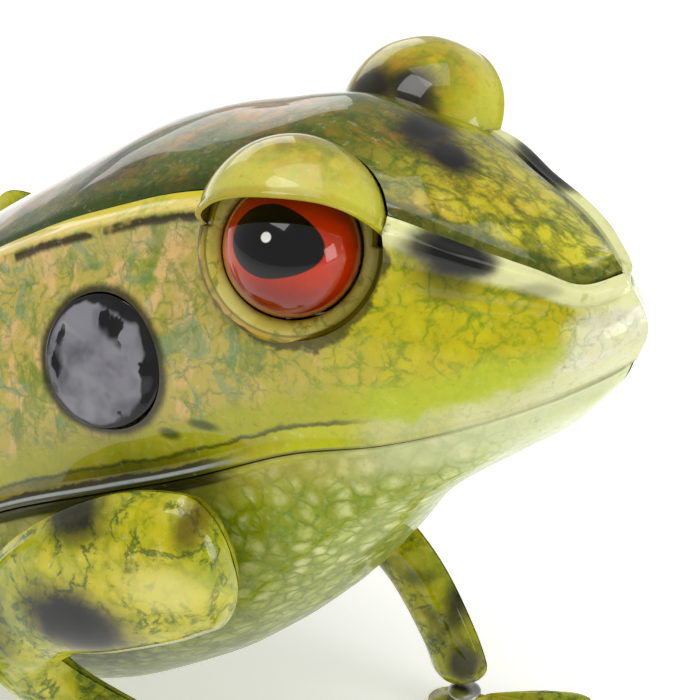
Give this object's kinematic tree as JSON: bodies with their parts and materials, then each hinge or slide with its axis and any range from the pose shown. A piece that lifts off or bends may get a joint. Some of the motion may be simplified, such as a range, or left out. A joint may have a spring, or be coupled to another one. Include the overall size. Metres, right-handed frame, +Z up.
{
  "type": "wind-up jumping frog",
  "caption": "Sheet-tin frog with domed eyes, riveted legs and a side key whose clockwork kicks the hind legs down to make it hop.",
  "frame": {"origin": "middle of the bounding box in X and Y, at the level of the soles", "axes": "+X forward out of the snout, +Y to the frog's left where the key is, +Z up"},
  "size_m": [0.1144, 0.0874, 0.0935],
  "materials": {
    "ankle_rivet_left": "tinned steel, satin",
    "ankle_rivet_right": "tinned steel, satin",
    "back_plate": "gloss hand-painted enamel on tinplate",
    "belly_shell": "gloss hand-painted enamel on tinplate",
    "cam_arbor": "bright drawn steel",
    "cam_pinion": "bright drawn steel",
    "click": "bright drawn steel",
    "click_post": "bright drawn steel",
    "ear_disc_left": "gloss hand-painted enamel on tinplate",
    "ear_disc_right": "gloss hand-painted enamel on tinplate",
    "eye_socket_left": "gloss hand-painted enamel on tinplate",
    "eye_socket_right": "gloss hand-painted enamel on tinplate",
    "eyeball_left": "gloss red-orange enamel with a black pupil",
    "eyeball_right": "gloss red-orange enamel with a black pupil",
    "eyelid_left": "gloss hand-painted enamel on tinplate",
    "eyelid_right": "gloss hand-painted enamel on tinplate",
    "forefoot_left": "gloss hand-painted enamel on tinplate",
    "forefoot_right": "gloss hand-painted enamel on tinplate",
    "forefoot_rivet_left": "tinned steel, satin",
    "forefoot_rivet_right": "tinned steel, satin",
    "foreleg_inner_left": "gloss hand-painted enamel on tinplate",
    "foreleg_inner_right": "gloss hand-painted enamel on tinplate",
    "foreleg_outer_left": "gloss hand-painted enamel on tinplate",
    "foreleg_outer_right": "gloss hand-painted enamel on tinplate",
    "great_wheel": "plain turned brass",
    "hind_foot_left": "gloss hand-painted enamel on tinplate",
    "hind_foot_right": "gloss hand-painted enamel on tinplate",
    "hip_bush_left": "plain turned brass",
    "hip_bush_right": "plain turned brass",
    "key_bow": "tinned steel, satin",
    "key_bush": "plain turned brass",
    "key_stem": "tinned steel, satin",
    "kick_cam": "bright drawn steel",
    "kick_lever": "bright drawn steel",
    "knee_rivet_left": "tinned steel, satin",
    "knee_rivet_right": "tinned steel, satin",
    "leg_crossbar": "bright drawn steel",
    "leg_stop": "bright drawn steel",
    "mainspring": "blued spring steel",
    "motor_pillar_lower": "bright drawn steel",
    "motor_pillar_upper": "bright drawn steel",
    "motor_plate_left": "tinned steel, satin",
    "motor_plate_right": "tinned steel, satin",
    "motor_stay_front": "bright drawn steel",
    "motor_stay_rear": "bright drawn steel",
    "ratchet_wheel": "bright drawn steel",
    "return_spring": "blued spring steel",
    "second_arbor": "bright drawn steel",
    "second_pinion": "bright drawn steel",
    "second_wheel": "plain turned brass",
    "shank_left": "gloss hand-painted enamel on tinplate",
    "shank_right": "gloss hand-painted enamel on tinplate",
    "side_shell_left": "gloss hand-painted enamel on tinplate",
    "side_shell_right": "gloss hand-painted enamel on tinplate",
    "thigh_inner_left": "gloss hand-painted enamel on tinplate",
    "thigh_inner_right": "gloss hand-painted enamel on tinplate",
    "thigh_outer_left": "gloss hand-painted enamel on tinplate",
    "thigh_outer_right": "gloss hand-painted enamel on tinplate",
    "winding_arbor": "bright drawn steel"
  },
  "bodies": {
    "frame": {"back_plate": "back_plate", "belly_shell": "belly_shell", "ear_disc_left": "ear_disc_left", "ear_disc_right": "ear_disc_right", "eye_socket_left": "eye_socket_left", "eye_socket_right": "eye_socket_right", "eyeball_left": "eyeball_left", "eyeball_right": "eyeball_right", "eyelid_left": "eyelid_left", "eyelid_right": "eyelid_right", "forefoot_left": "forefoot_left", "forefoot_right": "forefoot_right", "forefoot_rivet_left": "forefoot_rivet_left", "forefoot_rivet_right": "forefoot_rivet_right", "foreleg_inner_left": "foreleg_inner_left", "foreleg_inner_right": "foreleg_inner_right", "foreleg_outer_left": "foreleg_outer_left", "foreleg_outer_right": "foreleg_outer_right", "hip_bush_left": "hip_bush_left", "hip_bush_right": "hip_bush_right", "key_bush": "key_bush", "leg_stop": "leg_stop", "mainspring": "mainspring", "motor_pillar_lower": "motor_pillar_lower", "motor_pillar_upper": "motor_pillar_upper", "motor_plate_left": "motor_plate_left", "motor_plate_right": "motor_plate_right", "motor_stay_front": "motor_stay_front", "motor_stay_rear": "motor_stay_rear", "return_spring": "return_spring", "side_shell_left": "side_shell_left", "side_shell_right": "side_shell_right"},
    "great_wheel": {"great_wheel": "great_wheel", "click_post": "click_post"},
    "click": {"click": "click"},
    "winding": {"winding_arbor": "winding_arbor", "ratchet_wheel": "ratchet_wheel", "key_stem": "key_stem", "key_bow": "key_bow"},
    "second": {"second_arbor": "second_arbor", "second_pinion": "second_pinion", "second_wheel": "second_wheel"},
    "cam": {"cam_arbor": "cam_arbor", "cam_pinion": "cam_pinion", "kick_cam": "kick_cam"},
    "hind_legs": {"leg_crossbar": "leg_crossbar", "kick_lever": "kick_lever", "thigh_outer_left": "thigh_outer_left", "thigh_outer_right": "thigh_outer_right", "thigh_inner_left": "thigh_inner_left", "thigh_inner_right": "thigh_inner_right", "shank_left": "shank_left", "shank_right": "shank_right", "hind_foot_left": "hind_foot_left", "hind_foot_right": "hind_foot_right", "ankle_rivet_left": "ankle_rivet_left", "ankle_rivet_right": "ankle_rivet_right", "knee_rivet_left": "knee_rivet_left", "knee_rivet_right": "knee_rivet_right"}
  },
  "joints": [
    {"name": "great_wheel_spin", "type": "hinge", "parent": "frame", "child": "great_wheel", "pos_m": [-0.0097, 0, 0.051], "axis": [0, 1, 0], "continuous": true},
    {"name": "key_turn", "type": "hinge", "parent": "great_wheel", "child": "winding", "pos_m": [-0.0097, 0, 0.051], "axis": [0, 1, 0], "range_deg": [0, 1440], "deforming": ["mainspring"]},
    {"name": "click_pivot", "type": "hinge", "parent": "great_wheel", "child": "click", "pos_m": [-0.003, 0, 0.0577], "axis": [0, 1, 0], "range_deg": [-10, 0], "stiffness_Nm_per_rad": 0.00002, "springref_deg": 17.19},
    {"name": "second_spin", "type": "hinge", "parent": "frame", "child": "second", "pos_m": [-0.02219, 0, 0.04], "axis": [0, 1, 0], "continuous": true},
    {"name": "cam_spin", "type": "hinge", "parent": "frame", "child": "cam", "pos_m": [-0.0277, 0, 0.0295], "axis": [0, 1, 0], "continuous": true},
    {"name": "leg_kick", "type": "hinge", "parent": "frame", "child": "hind_legs", "pos_m": [-0.0417, 0, 0.021], "axis": [0, 1, 0], "range_deg": [0, 18], "stiffness_Nm_per_rad": 0.02, "springref_deg": -28.65, "deforming": ["return_spring"]}
  ],
  "couplings": [
    {"joint": "second_spin", "follows": "great_wheel_spin", "ratio": -3.6},
    {"joint": "cam_spin", "follows": "great_wheel_spin", "ratio": 10.08}
  ]
}
